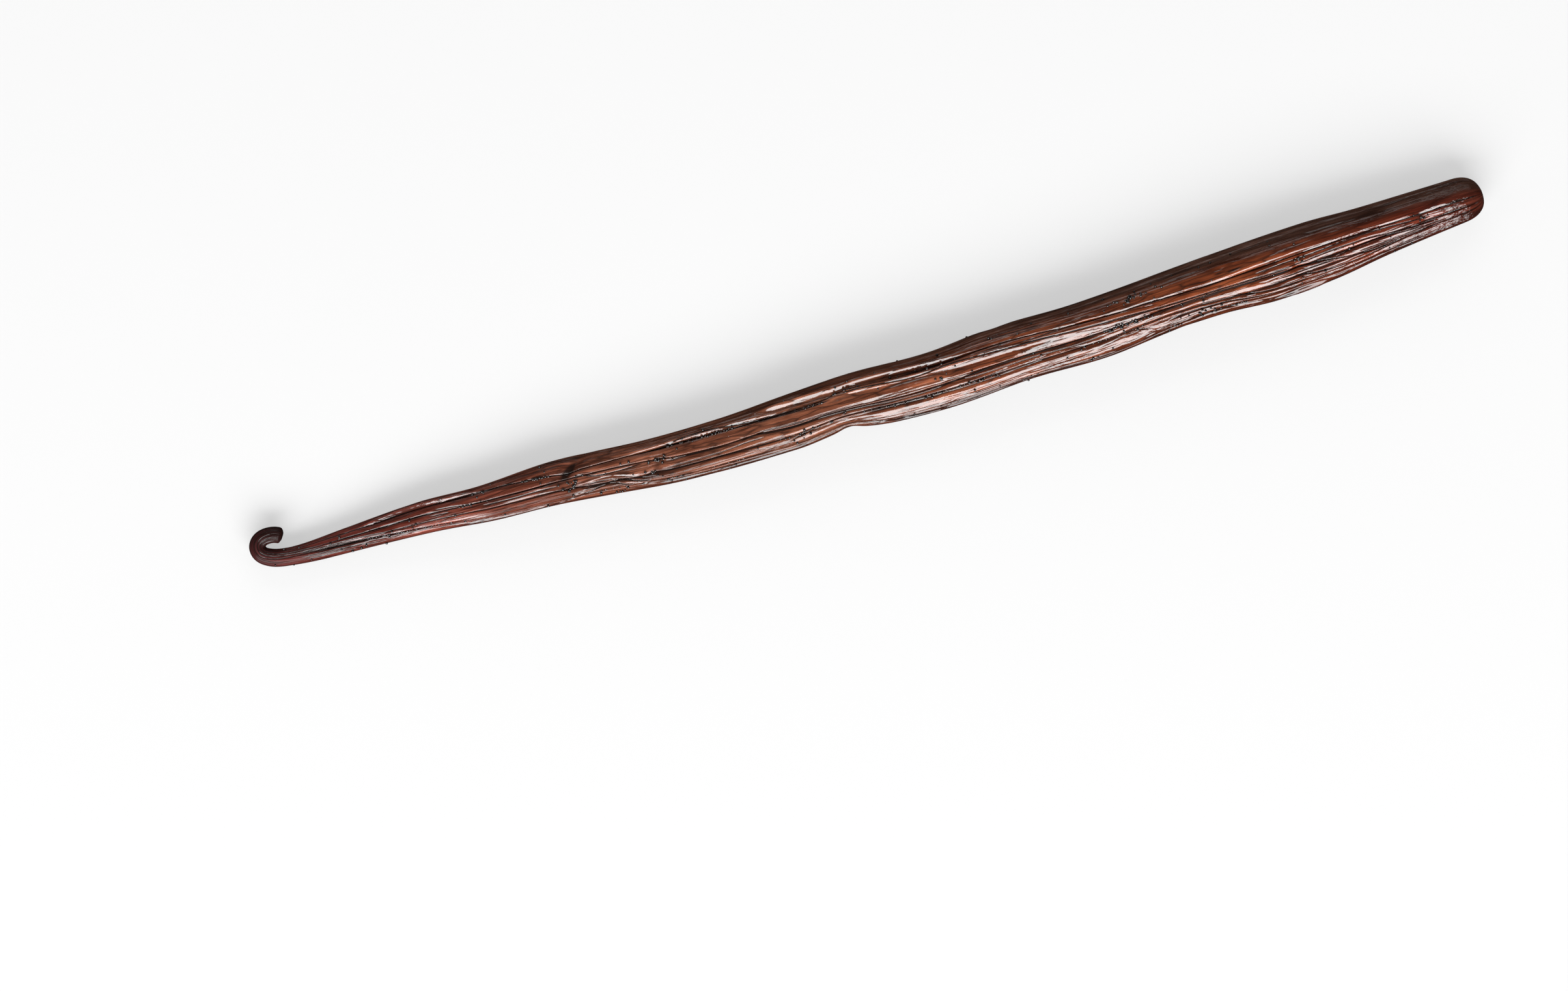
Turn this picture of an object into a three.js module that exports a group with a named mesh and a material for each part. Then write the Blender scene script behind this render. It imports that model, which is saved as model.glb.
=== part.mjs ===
// A cured vanilla pod, lying on its flattest side.
// Units are millimetres, +Z is up and the floor is z = 0. +X runs along the pod, from the hooked
// stem end to the blunt blossom end. The origin is at the middle of its footprint.
//
// The pod is one skin. Slices, which are rings of points, stand one after another along a gently
// winding centre line. Each slice is a flattened, slightly four-sided oval. The skin has shrunk in
// drying, so it lies in long folds: its creases run lengthwise, and between two of them it swells.
// The points of a slice keep to the creases, so that each crease is a sharp line in the mesh.

import * as THREE from 'three';

// ---------------------------------------------------------------- driving dimensions

const POD_LENGTH = 168.2;       // along its curve, from the cut stem to the blossom tip
const HOOK_LENGTH = 9;          // the stem end that is folded back on itself
const BLOSSOM_CAP = 3.4;        // the stretch over which the blunt end rounds off
const BLOSSOM_SQUARENESS = 2.5; // 2 is a round end, more is blunter
const STEM_BEVEL = 0.45;        // how far the edge of the cut stem is worn round
const STEM_WEAR = 0.5;          // share of the radius that is worn away at that edge
const STEM_DISH = 0.2;          // how far the dried cut face has sunk in

const BELLY_PRESS = 0.4;        // how much of the underside is pressed flat where the pod lies
const SIDE_FULLNESS = 0.9;      // 1 is an oval slice, less is a fuller one
const TOP_FULLNESS = 0.86;
const RIBS = 4;                 // long blunt ribs, evenly spaced round the slice
const FIRST_RIB = 78;           // degrees round the slice, where the uppermost rib runs

const SKIN_COLOR = 0x3a1a10;    // dark reddish brown
const SKIN_ROUGHNESS = 0.32;    // oily skin

// The grid: points from one crease to the next, and slices along each stretch.
const POINTS_A_FOLD = 3;
const HOOK_SLICES = 26;
const BODY_SLICES = 154;
const CAP_SLICES = 8;

// Profiles along the pod: [millimetres from the cut stem, value].

const HEADING = [ // degrees from +X, anticlockwise from above
  [0, -212], [0.5, -203.5], [1.5, -184], [2.5, -162], [3.4, -125], [4.2, -79], [5.1, -40],
  [6.1, -23], [7.4, -11], [10, -5], [14, -1.2], [24, 0.6], [40, -0.9], [60, -1.2], [76, 0],
  [92, 1.3], [110, 2.4], [130, 3], [168.2, 2.9],
];
const LEFT_REACH = [ // half width on the +Y side
  [0, 1.02], [1.8, 0.95], [3.6, 0.87], [6, 1.02], [9, 1.16], [16, 1.89], [26, 2.47], [34, 2.27],
  [44, 2.9], [56, 2.52], [66, 2.76], [76, 3.48], [84, 3.82], [94, 3.44], [103, 3.97], [114, 3.58],
  [132, 3.92], [145, 3.92], [152, 3.48], [163, 3.1], [168.2, 3],
];
const RIGHT_REACH = [ // half width on the -Y side
  [0, 1.08], [3.6, 1.24], [6, 1.29], [9, 1.24], [18, 1.39], [27, 1.86], [35, 2.58], [43, 2.73],
  [50, 3.2], [60, 3.87], [75, 3.77], [81.5, 3.2], [88, 3.92], [96, 4.23], [106, 3.87], [116, 4.28],
  [125, 3.77], [132, 3.82], [139, 4.44], [147, 4.23], [154, 3.51], [162, 2.94], [168.2, 2.58],
];
const HEIGHT = [ // floor to crest
  [0, 2], [6, 2.1], [14, 2.6], [24, 3.4], [36, 4.4], [50, 5], [70, 5.6], [90, 6], [115, 6.2],
  [135, 6.4], [150, 6], [160, 5.4], [168.2, 4.7],
];
const FOUR_SIDED = [ // share of the radius by which the four long ribs stand out
  [0, 0], [24, -0.02], [45, -0.03], [62, -0.01], [84, 0.035], [108, 0.045], [124, 0.06], [150, 0.065],
  [168.2, 0.05],
];
const LIFT = [[0, 1.1], [4, 0.75], [10, 0.25], [18, 0], [168.2, 0]]; // the thin stem end curls up

// The lengthwise creases, in order round the slice. Each runs at an angle that changes along the
// pod: 0 is the left edge, 90 the crest, 180 the right edge and 270 the belly. It is there from
// one place along the pod to another.
const CREASES = [
  { name: 'left shoulder', depth: 0.2, from: 18, to: 160,
    run: [[0, 20], [30, 22], [60, 28], [90, 34], [120, 30], [168.2, 26]] },
  { name: 'upper', depth: 0.22, from: 14, to: 160,
    run: [[0, 46], [16, 50], [28, 48], [36, 52], [41, 65], [46, 72], [54, 68], [66, 70], [78, 72],
      [82, 62], [92, 66], [104, 68], [116, 80], [124, 84], [131, 88], [146, 87], [168.2, 90]] },
  { name: 'crest', depth: 0.24, from: 9, to: 158,
    run: [[0, 76], [10, 72], [22, 76], [27, 78], [35, 88], [45, 88], [55, 92], [60, 98], [66, 100],
      [70, 97], [75, 101], [80, 99], [90, 105], [97, 104], [102, 101], [114, 104], [128, 103],
      [142, 106], [156, 108], [168.2, 110]] },
  { name: 'lower', depth: 0.26, from: 30, to: 156,
    run: [[0, 100], [10, 82], [17, 85], [22, 93], [28, 100], [36, 110], [44, 112], [47, 116],
      [55, 121], [66, 120], [74, 121], [78, 118], [82, 115], [92, 119], [104, 121], [120, 121],
      [124, 119], [128, 121], [134, 128], [142, 124], [150, 126], [168.2, 128]] },
  { name: 'right shoulder', depth: 0.28, from: 8, to: 160,
    run: [[0, 124], [10, 92], [17, 96], [19, 101], [22, 111], [25, 117], [28, 123], [31, 132],
      [35, 142], [44, 146], [48, 138], [52, 140], [58, 143], [68, 142], [74, 146], [82, 143],
      [86, 152], [92, 159], [104, 160], [112, 162], [120, 160], [130, 148], [142, 146], [150, 150],
      [168.2, 152]] },
  { name: 'right edge', depth: 0.34, from: 12, to: 162,
    run: [[0, 178], [20, 184], [60, 190], [82, 182], [100, 197], [130, 187], [168.2, 192]] },
  { name: 'right of belly', depth: 0.36, from: 20, to: 160,
    run: [[0, 224], [30, 226], [65, 234], [110, 227], [168.2, 232]] },
  { name: 'belly', depth: 0.3, from: 30, to: 150,
    run: [[0, 264], [40, 262], [80, 272], [120, 260], [168.2, 268]] },
  { name: 'left of belly', depth: 0.36, from: 16, to: 156,
    run: [[0, 300], [40, 304], [75, 298], [120, 308], [168.2, 302]] },
  { name: 'left edge', depth: 0.34, from: 12, to: 160,
    run: [[0, 340], [50, 336], [100, 350], [130, 344], [168.2, 342]] },
];
const CREASE_FADE = 7;   // the stretch over which a crease deepens from nothing
const FOLD_SWELL = 0.25; // 1 is an evenly rounded fold, less is a fuller one with sharper creases

// Kinks across the pod, where it was once bent. Each has a place along and round the pod, its
// depth, its spread along (mm) and round (degrees), and how far it slants (mm for each degree).
const KINKS = [
  { at: 45.8, angle: 66, depth: 0.5, along: 1.2, round: 38, slant: -0.044 },
  { at: 46.4, angle: 112, depth: 0.3, along: 1, round: 20, slant: 0.02 },
  { at: 57.2, angle: 100, depth: 0.36, along: 1, round: 34, slant: -0.03 },
  { at: 80.2, angle: 80, depth: 0.26, along: 1.1, round: 26, slant: -0.05 },
  { at: 82, angle: 172, depth: 0.4, along: 1.5, round: 28, slant: 0.01 },
  { at: 121.4, angle: 138, depth: 0.2, along: 1.3, round: 18, slant: 0.06 },
  { at: 142.4, angle: 104, depth: 0.22, along: 0.9, round: 20, slant: 0.01 },
  { at: 159.8, angle: 94, depth: 0.3, along: 1.3, round: 22, slant: 0.02 },
  { at: 65, angle: 262, depth: 0.35, along: 1.5, round: 50, slant: 0.02 },
  { at: 104, angle: 318, depth: 0.35, along: 1.6, round: 45, slant: -0.02 },
  { at: 128, angle: 222, depth: 0.3, along: 1.4, round: 40, slant: 0.03 },
];

// ---------------------------------------------------------------- profiles and centre line

// A smooth curve through stations: cubic between two of them, and in each station it has the slope
// of the straight line between its neighbours.
function along(stations, s) {
  const last = stations.length - 1;
  let i = 0;
  while (i < last - 1 && s > stations[i + 1][0]) i += 1;
  const slope = (k) => {
    const a = stations[Math.max(k - 1, 0)];
    const b = stations[Math.min(k + 1, last)];
    return (b[1] - a[1]) / (b[0] - a[0]);
  };
  const [s0, v0] = stations[i];
  const [s1, v1] = stations[i + 1];
  const h = s1 - s0;
  const u = THREE.MathUtils.clamp((s - s0) / h, 0, 1);
  const rise = u * u * (3 - 2 * u);
  return v0 + (v1 - v0) * rise + h * u * (1 - u) * ((1 - u) * slope(i) - u * slope(i + 1));
}

// The centre line, drawn by walking along the headings in short steps.
const WALK_STEP = 0.05;

function walkCentreLine() {
  const places = [new THREE.Vector2(0, 0)];
  const steps = Math.ceil(POD_LENGTH / WALK_STEP);
  for (let k = 0; k < steps; k += 1) {
    const heading = THREE.MathUtils.degToRad(along(HEADING, (k + 0.5) * WALK_STEP));
    const step = new THREE.Vector2(Math.cos(heading), Math.sin(heading)).multiplyScalar(WALK_STEP);
    places.push(places[k].clone().add(step));
  }
  return places;
}

const CENTRE_LINE = walkCentreLine();

function centreAt(s) {
  const k = Math.min(Math.floor(s / WALK_STEP), CENTRE_LINE.length - 2);
  const between = Math.min(s / WALK_STEP - k, 1);
  return CENTRE_LINE[k].clone().lerp(CENTRE_LINE[k + 1], between);
}

// ---------------------------------------------------------------- a slice across the pod

function bell(distance, spread) {
  return Math.exp(-((distance / spread) ** 2));
}

// The shorter way round from one angle to another, in degrees.
function turnBetween(from, to) {
  return THREE.MathUtils.euclideanModulo(to - from + 180, 360) - 180;
}

function creaseDepth(crease, s) {
  const fadeIn = THREE.MathUtils.smoothstep(s, crease.from, crease.from + CREASE_FADE);
  const fadeOut = 1 - THREE.MathUtils.smoothstep(s, crease.to - CREASE_FADE, crease.to);
  return crease.depth * fadeIn * fadeOut;
}

function kinkDepth(kink, s, angle) {
  const turn = turnBetween(kink.angle, angle);
  return kink.depth * bell(s - kink.at - kink.slant * turn, kink.along) * bell(turn, kink.round);
}

// How much of its full size a slice has: all of it, except in the last stretch at either end.
function fullness(s) {
  const past = Math.max(s - (POD_LENGTH - BLOSSOM_CAP), 0) / BLOSSOM_CAP;
  const blossom = Math.max(1 - past ** BLOSSOM_SQUARENESS, 0) ** (1 / BLOSSOM_SQUARENESS);
  const worn = Math.max(STEM_BEVEL - s, 0);
  return blossom - STEM_WEAR * (worn / STEM_BEVEL) ** 2;
}

// The four ribs, as a share of the radius. They leave the left and right edges where they are, so
// that the half widths stay as given.
function ribs(s, angle) {
  const across = Math.cos(THREE.MathUtils.degToRad(angle));
  const wave = (degrees) => Math.cos(RIBS * THREE.MathUtils.degToRad(degrees - FIRST_RIB));
  return along(FOUR_SIDED, s) * (wave(angle) - wave(0) * across ** 2);
}

// A point of the slice: how far left of the centre line it is, and how high above the floor.
function slicePoint(s, angle, creased) {
  const a = THREE.MathUtils.degToRad(angle);
  const reach = Math.cos(a) >= 0 ? along(LEFT_REACH, s) : along(RIGHT_REACH, s);
  const halfHeight = (along(HEIGHT, s) + BELLY_PRESS) / 2;
  const left = reach * Math.sign(Math.cos(a)) * Math.abs(Math.cos(a)) ** SIDE_FULLNESS;
  const up = halfHeight * Math.sign(Math.sin(a)) * Math.abs(Math.sin(a)) ** TOP_FULLNESS;
  let pushedIn = creased;
  for (const kink of KINKS) pushedIn += kinkDepth(kink, s, angle);
  const scale = (1 + ribs(s, angle) - pushedIn / Math.hypot(left, up)) * fullness(s);
  const height = halfHeight - BELLY_PRESS + up * scale + along(LIFT, s);
  return [left * scale, Math.max(height, 0)];
}

// All the points of a slice. From one crease to the next the skin swells out and comes back in.
function slicePoints(s) {
  const points = [];
  CREASES.forEach((crease, k) => {
    const next = CREASES[(k + 1) % CREASES.length];
    const start = along(crease.run, s);
    const turn = THREE.MathUtils.euclideanModulo(along(next.run, s) - start, 360);
    for (let j = 0; j < POINTS_A_FOLD; j += 1) {
      const u = j / POINTS_A_FOLD;
      const deep = THREE.MathUtils.lerp(creaseDepth(crease, s), creaseDepth(next, s), u);
      const creased = deep * (1 - Math.sin(Math.PI * u) ** FOLD_SWELL);
      points.push(slicePoint(s, start + turn * u, creased));
    }
  });
  return points;
}

// ---------------------------------------------------------------- the skin

function sliceStations() {
  const stations = [];
  for (let k = 0; k < HOOK_SLICES; k += 1) stations.push(HOOK_LENGTH * k / HOOK_SLICES);
  const bodyEnd = POD_LENGTH - BLOSSOM_CAP;
  for (let k = 0; k < BODY_SLICES; k += 1) {
    stations.push(HOOK_LENGTH + (bodyEnd - HOOK_LENGTH) * k / BODY_SLICES);
  }
  for (let k = 0; k < CAP_SLICES; k += 1) {
    stations.push(bodyEnd + BLOSSOM_CAP * Math.sin(Math.PI / 2 * k / CAP_SLICES));
  }
  return stations;
}

function place(s, left, height) {
  const centre = centreAt(s);
  const heading = THREE.MathUtils.degToRad(along(HEADING, s));
  return [centre.x - left * Math.sin(heading), centre.y + left * Math.cos(heading), height];
}

function tipHeight(s) {
  return (along(HEIGHT, s) - BELLY_PRESS) / 2 + along(LIFT, s);
}

function skinPoints(stations) {
  const points = [];
  for (const s of stations) {
    for (const [left, height] of slicePoints(s)) points.push(place(s, left, height));
  }
  points.push(place(STEM_DISH, 0, tipHeight(0)));
  points.push(place(POD_LENGTH, 0, tipHeight(POD_LENGTH)));
  return points;
}

const POINTS_ROUND = POINTS_A_FOLD * CREASES.length;

function skinFaces(slices) {
  const faces = [];
  const at = (i, j) => i * POINTS_ROUND + j % POINTS_ROUND;
  for (let i = 0; i < slices - 1; i += 1) {
    for (let j = 0; j < POINTS_ROUND; j += 1) {
      faces.push(at(i, j), at(i + 1, j + 1), at(i + 1, j));
      faces.push(at(i, j), at(i, j + 1), at(i + 1, j + 1));
    }
  }
  const stemPoint = slices * POINTS_ROUND;
  const tipPoint = stemPoint + 1;
  for (let j = 0; j < POINTS_ROUND; j += 1) {
    faces.push(stemPoint, at(0, j + 1), at(0, j));
    faces.push(tipPoint, at(slices - 1, j), at(slices - 1, j + 1));
  }
  return faces;
}

// Moves the points so that the footprint's middle is at the origin, with the belly on the floor.
function centreFootprint(geometry) {
  geometry.computeBoundingBox();
  const { min, max } = geometry.boundingBox;
  geometry.translate(-(min.x + max.x) / 2, -(min.y + max.y) / 2, -min.z);
}

function buildPod() {
  const stations = sliceStations();
  const geometry = new THREE.BufferGeometry();
  geometry.setAttribute('position', new THREE.Float32BufferAttribute(skinPoints(stations).flat(), 3));
  geometry.setIndex(skinFaces(stations.length));
  centreFootprint(geometry);
  geometry.computeVertexNormals();
  const skin = new THREE.MeshStandardMaterial({ color: SKIN_COLOR, roughness: SKIN_ROUGHNESS, metalness: 0 });
  const pod = new THREE.Mesh(geometry, skin);
  pod.name = 'pod';
  return pod;
}

const model = new THREE.Group();
model.add(buildPod());

export default model;
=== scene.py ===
# %% [markdown]
# # A cured vanilla pod
#
# A vanilla pod is a long seed capsule. It is picked green, then sweated and dried for months until
# it is dark, supple and oily. Its skin shrinks as it dries, so it lies in long folds with sharp
# creases between them, and finer wrinkles run along the folds.
#
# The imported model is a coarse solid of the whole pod. This lesson makes the fine skin over it, the
# beads of resin that sit in its creases, the finish of each, and a plain studio to see them in.

# %% Load the frame
import math

import bpy
import numpy as np
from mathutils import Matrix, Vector


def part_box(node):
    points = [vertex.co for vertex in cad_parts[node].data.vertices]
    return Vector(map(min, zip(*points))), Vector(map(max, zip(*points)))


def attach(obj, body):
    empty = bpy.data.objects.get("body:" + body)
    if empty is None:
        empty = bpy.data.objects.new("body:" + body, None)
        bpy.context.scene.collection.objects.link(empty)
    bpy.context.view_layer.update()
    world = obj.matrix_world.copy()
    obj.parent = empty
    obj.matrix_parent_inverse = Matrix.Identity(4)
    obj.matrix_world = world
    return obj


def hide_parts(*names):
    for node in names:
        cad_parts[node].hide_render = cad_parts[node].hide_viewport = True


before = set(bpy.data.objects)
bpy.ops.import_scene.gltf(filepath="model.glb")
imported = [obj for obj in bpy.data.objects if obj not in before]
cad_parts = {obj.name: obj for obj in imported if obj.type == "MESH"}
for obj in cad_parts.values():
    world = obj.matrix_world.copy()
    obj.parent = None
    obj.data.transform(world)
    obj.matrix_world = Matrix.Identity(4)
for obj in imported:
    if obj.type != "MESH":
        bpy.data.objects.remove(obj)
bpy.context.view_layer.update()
pod_low, pod_high = (np.array(corner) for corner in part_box("pod"))
MM = 0.001
print("nodes:", list(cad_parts), "size in mm:", np.round((pod_high - pod_low) / MM, 1))

# %% [markdown]
# ## Profiles
#
# Width, height and direction change slowly along the pod. Each is given at a few stations and read
# in between with one smooth curve. The same stations shape the solid model, so the fine skin keeps
# its form.


# %% A smooth curve through stations
def along(stations, s):
    """The value at s, in mm from the cut stem. Between two stations it is a cubic, and in each
    station it has the slope of the straight line between its neighbours."""
    places, values = np.array(stations, float).T
    slopes = np.gradient(values, places)
    slopes[1:-1] = (values[2:] - values[:-2]) / (places[2:] - places[:-2])
    i = np.clip(np.searchsorted(places, s, side="right") - 1, 0, len(places) - 2)
    gap = places[i + 1] - places[i]
    u = np.clip((s - places[i]) / gap, 0, 1)
    rise = u * u * (3 - 2 * u)
    bend = gap * u * (1 - u) * ((1 - u) * slopes[i] - u * slopes[i + 1])
    return values[i] + (values[i + 1] - values[i]) * rise + bend


def smoothstep(x, low, high):
    """0 up to low, 1 from high on, and 3u^2 - 2u^3 in between."""
    u = np.clip((x - low) / (high - low), 0, 1)
    return u * u * (3 - 2 * u)


def bell(distance, spread):
    """exp(-(distance / spread)^2)."""
    return np.exp(-((distance / spread) ** 2))


# %% The pod's sizes, in millimetres and degrees
POD_LENGTH = 168.2
HOOK_LENGTH = 9.0
BLOSSOM_CAP = 3.4
BLOSSOM_SQUARENESS = 2.5
STEM_BEVEL = 0.45
STEM_DISH = 0.2
BELLY_PRESS = 0.4
SIDE_FULLNESS = 0.9
TOP_FULLNESS = 0.86
RIBS = 4
FIRST_RIB = 78
STEM_WEAR = 0.5  # share of its size that the cut stem has lost at its very edge

HEADING = [
    (0, -212), (0.5, -203.5), (1.5, -184), (2.5, -162), (3.4, -125), (4.2, -79), (5.1, -40),
    (6.1, -23), (7.4, -11), (10, -5), (14, -1.2), (24, 0.6), (40, -0.9), (60, -1.2), (76, 0),
    (92, 1.3), (110, 2.4), (130, 3), (168.2, 2.9),
]
LEFT_REACH = [
    (0, 1.02), (1.8, 0.95), (3.6, 0.87), (6, 1.02), (9, 1.16), (16, 1.89), (26, 2.47), (34, 2.27),
    (44, 2.9), (56, 2.52), (66, 2.76), (76, 3.48), (84, 3.82), (94, 3.44), (103, 3.97), (114, 3.58),
    (132, 3.92), (145, 3.92), (152, 3.48), (163, 3.1), (168.2, 3),
]
RIGHT_REACH = [
    (0, 1.08), (3.6, 1.24), (6, 1.29), (9, 1.24), (18, 1.39), (27, 1.86), (35, 2.58), (43, 2.73),
    (50, 3.2), (60, 3.87), (75, 3.77), (81.5, 3.2), (88, 3.92), (96, 4.23), (106, 3.87), (116, 4.28),
    (125, 3.77), (132, 3.82), (139, 4.44), (147, 4.23), (154, 3.51), (162, 2.94), (168.2, 2.58),
]
HEIGHT = [
    (0, 2), (6, 2.1), (14, 2.6), (24, 3.4), (36, 4.4), (50, 5), (70, 5.6), (90, 6), (115, 6.2),
    (135, 6.4), (150, 6), (160, 5.4), (168.2, 4.7),
]
FOUR_SIDED = [  # share of the radius by which the four long ribs stand out
    (0, 0), (24, -0.02), (45, -0.03), (62, -0.01), (84, 0.035), (108, 0.045), (124, 0.06), (150, 0.065),
    (168.2, 0.05),
]
LIFT = [(0, 1.1), (4, 0.75), (10, 0.25), (18, 0), (168.2, 0)]  # how far the belly is off the floor
print("the pod is", POD_LENGTH, "mm long, and", max(high for _, high in HEIGHT), "mm high at most")

# %% [markdown]
# ## Centre line
#
# The pod winds gently, and its thin stem end is folded back in a hook. A centre line given by its
# heading is easy to bend in one place without moving the rest: the heading is added up in short
# steps, as a walker adds up paces.

# %% Walk the centre line
WALK_POINTS = 3365  # one every twentieth of a millimetre
walk = np.linspace(0, POD_LENGTH, WALK_POINTS)
walk_heading = np.radians(along(HEADING, walk))
pace = walk[1] - walk[0]


def add_up(rate):
    """The running sum of a rate along the walk, by the trapezium rule."""
    return np.concatenate([[0], np.cumsum((rate[1:] + rate[:-1]) / 2 * pace)])


walk_x = add_up(np.cos(walk_heading))
walk_y = add_up(np.sin(walk_heading))
print("centre line ends at", round(walk_x[-1], 1), round(walk_y[-1], 1), "mm from the stem")


def onto_path(s, left, height):
    """Places a point of a slice: s along the centre line, left of it and above the floor."""
    heading = np.interp(s, walk, walk_heading)
    x = np.interp(s, walk, walk_x) - left * np.sin(heading)
    y = np.interp(s, walk, walk_y) + left * np.cos(heading)
    return np.stack([x, y, height + 0 * x], axis=-1)


# %% [markdown]
# ## Folds
#
# Ten long creases run the length of the pod, and the skin swells between each two of them. They
# could be sculpted, but as lines on the pod they can be moved one at a time. An angle says where on
# a slice a crease is: 0 is the left edge, 90 the crest, 180 the right edge and 270 the belly. Where
# the pod was bent there is a kink across it.

# %% The long creases and the kinks
CREASES = [  # name, depth, from and to along the pod, all in mm, and its run as (mm, degrees)
    ("left shoulder", 0.2, (18, 160), [(0, 20), (30, 22), (60, 28), (90, 34), (120, 30), (168.2, 26)]),
    ("upper", 0.22, (14, 160), [
        (0, 46), (16, 50), (28, 48), (36, 52), (41, 65), (46, 72), (54, 68), (66, 70), (78, 72), (82, 62),
        (92, 66), (104, 68), (116, 80), (124, 84), (131, 88), (146, 87), (168.2, 90)]),
    ("crest", 0.24, (9, 158), [
        (0, 76), (10, 72), (22, 76), (27, 78), (35, 88), (45, 88), (55, 92), (60, 98), (66, 100), (70, 97),
        (75, 101), (80, 99), (90, 105), (97, 104), (102, 101), (114, 104), (128, 103), (142, 106),
        (156, 108), (168.2, 110)]),
    ("lower", 0.26, (30, 156), [
        (0, 100), (10, 82), (17, 85), (22, 93), (28, 100), (36, 110), (44, 112), (47, 116), (55, 121),
        (66, 120), (74, 121), (78, 118), (82, 115), (92, 119), (104, 121), (120, 121), (124, 119),
        (128, 121), (134, 128), (142, 124), (150, 126), (168.2, 128)]),
    ("right shoulder", 0.28, (8, 160), [
        (0, 124), (10, 92), (17, 96), (19, 101), (22, 111), (25, 117), (28, 123), (31, 132), (35, 142),
        (44, 146), (48, 138), (52, 140), (58, 143), (68, 142), (74, 146), (82, 143), (86, 152), (92, 159),
        (104, 160), (112, 162), (120, 160), (130, 148), (142, 146), (150, 150), (168.2, 152)]),
    ("right edge", 0.34, (12, 162), [
        (0, 178), (20, 184), (60, 190), (82, 182), (100, 197), (130, 187), (168.2, 192)]),
    ("right of belly", 0.36, (20, 160), [(0, 224), (30, 226), (65, 234), (110, 227), (168.2, 232)]),
    ("belly", 0.3, (30, 150), [(0, 264), (40, 262), (80, 272), (120, 260), (168.2, 268)]),
    ("left of belly", 0.36, (16, 156), [(0, 300), (40, 304), (75, 298), (120, 308), (168.2, 302)]),
    ("left edge", 0.34, (12, 160), [(0, 340), (50, 336), (100, 350), (130, 344), (168.2, 342)]),
]
CREASE_RUNS = {name: run for name, _, _, run in CREASES}
CREASE_FADE = 7
FOLD_SWELL = 0.25

KINKS = [  # along in mm, angle, depth, spread along in mm, spread round in degrees, mm along a degree
    (45.8, 66, 0.5, 1.2, 38, -0.044), (46.4, 112, 0.3, 1, 20, 0.02), (57.2, 100, 0.36, 1, 34, -0.03),
    (80.2, 80, 0.26, 1.1, 26, -0.05), (82, 172, 0.4, 1.5, 28, 0.01), (121.4, 138, 0.2, 1.3, 18, 0.06),
    (142.4, 104, 0.22, 0.9, 20, 0.01), (159.8, 94, 0.3, 1.3, 22, 0.02), (65, 262, 0.35, 1.5, 50, 0.02),
    (104, 318, 0.35, 1.6, 45, -0.02), (128, 222, 0.3, 1.4, 40, 0.03),
]
print(len(CREASES), "creases and", len(KINKS), "kinks")


# %% The plain slice
def ribs(s, angle):
    """The four ribs, as a share of the radius: the cosine of four times the angle, less what would
    move the left and right edges."""
    wave = np.cos(RIBS * np.radians(angle - FIRST_RIB))
    edge = math.cos(RIBS * math.radians(FIRST_RIB))
    return along(FOUR_SIDED, s) * (wave - edge * np.cos(np.radians(angle)) ** 2)


def slice_outline(s, angle):
    """The plain slice, left of its middle and above it, in mm: an oval that is a little fuller than
    an ellipse, with the four ribs."""
    a = np.radians(angle)
    reach = np.where(np.cos(a) >= 0, along(LEFT_REACH, s), along(RIGHT_REACH, s))
    half_height = (along(HEIGHT, s) + BELLY_PRESS) / 2
    left = reach * np.sign(np.cos(a)) * np.abs(np.cos(a)) ** SIDE_FULLNESS
    up = half_height * np.sign(np.sin(a)) * np.abs(np.sin(a)) ** TOP_FULLNESS
    return left * (1 + ribs(s, angle)), up * (1 + ribs(s, angle))


def slice_slope(s, angle):
    """How far a degree round the plain slice reaches, in mm, and how many degrees the skin leans to
    the right of level there, both from half a degree before to half a degree after."""
    left_before, up_before = slice_outline(s, angle - 0.5)
    left_after, up_after = slice_outline(s, angle + 0.5)
    reach = np.hypot(left_after - left_before, up_after - up_before)
    return reach, np.degrees(np.arctan2(up_before - up_after, left_before - left_after))


# %% How deep the folds and the kinks are
def turn_between(start, end):
    """The shorter way round from one angle to another, in degrees."""
    return (end - start + 180) % 360 - 180


def faded(reach, fade, s):
    """1 inside a reach along the pod, falling to 0 over the fade at either end of it."""
    return smoothstep(s, reach[0], reach[0] + fade) * (1 - smoothstep(s, reach[1] - fade, reach[1]))


def fold_depth(s, angle):
    """How far the long folds push the skin in. From one crease to the next the depth is that of the
    creases, mixed, times 1 - sin(pi u)^swell, where u goes from 0 to 1 across the fold."""
    depth = np.zeros(np.broadcast(s, angle).shape)
    for crease, following in zip(CREASES, CREASES[1:] + CREASES[:1]):
        _, depth_here, reach_here, run_here = crease
        _, depth_there, reach_there, run_there = following
        start = along(run_here, s)
        width = (along(run_there, s) - start) % 360
        u = ((angle - start) % 360) / width
        here = depth_here * faded(reach_here, CREASE_FADE, s)
        there = depth_there * faded(reach_there, CREASE_FADE, s)
        inside = np.clip(u, 0, 1)
        cut = (here + (there - here) * inside) * (1 - np.sin(math.pi * inside) ** FOLD_SWELL)
        depth = np.where(u < 1, cut, depth)
    return depth


def kink_depth(s, angle):
    """How far the kinks push the skin in: a slanted trough, bell-shaped along and round the pod."""
    depth = np.zeros(np.broadcast(s, angle).shape)
    for place, middle_angle, deep, spread_s, spread_angle, slant in KINKS:
        turn = turn_between(middle_angle, angle)
        off = s - place - slant * turn
        depth += deep * bell(off, spread_s) * bell(turn, spread_angle)
    return depth
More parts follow.
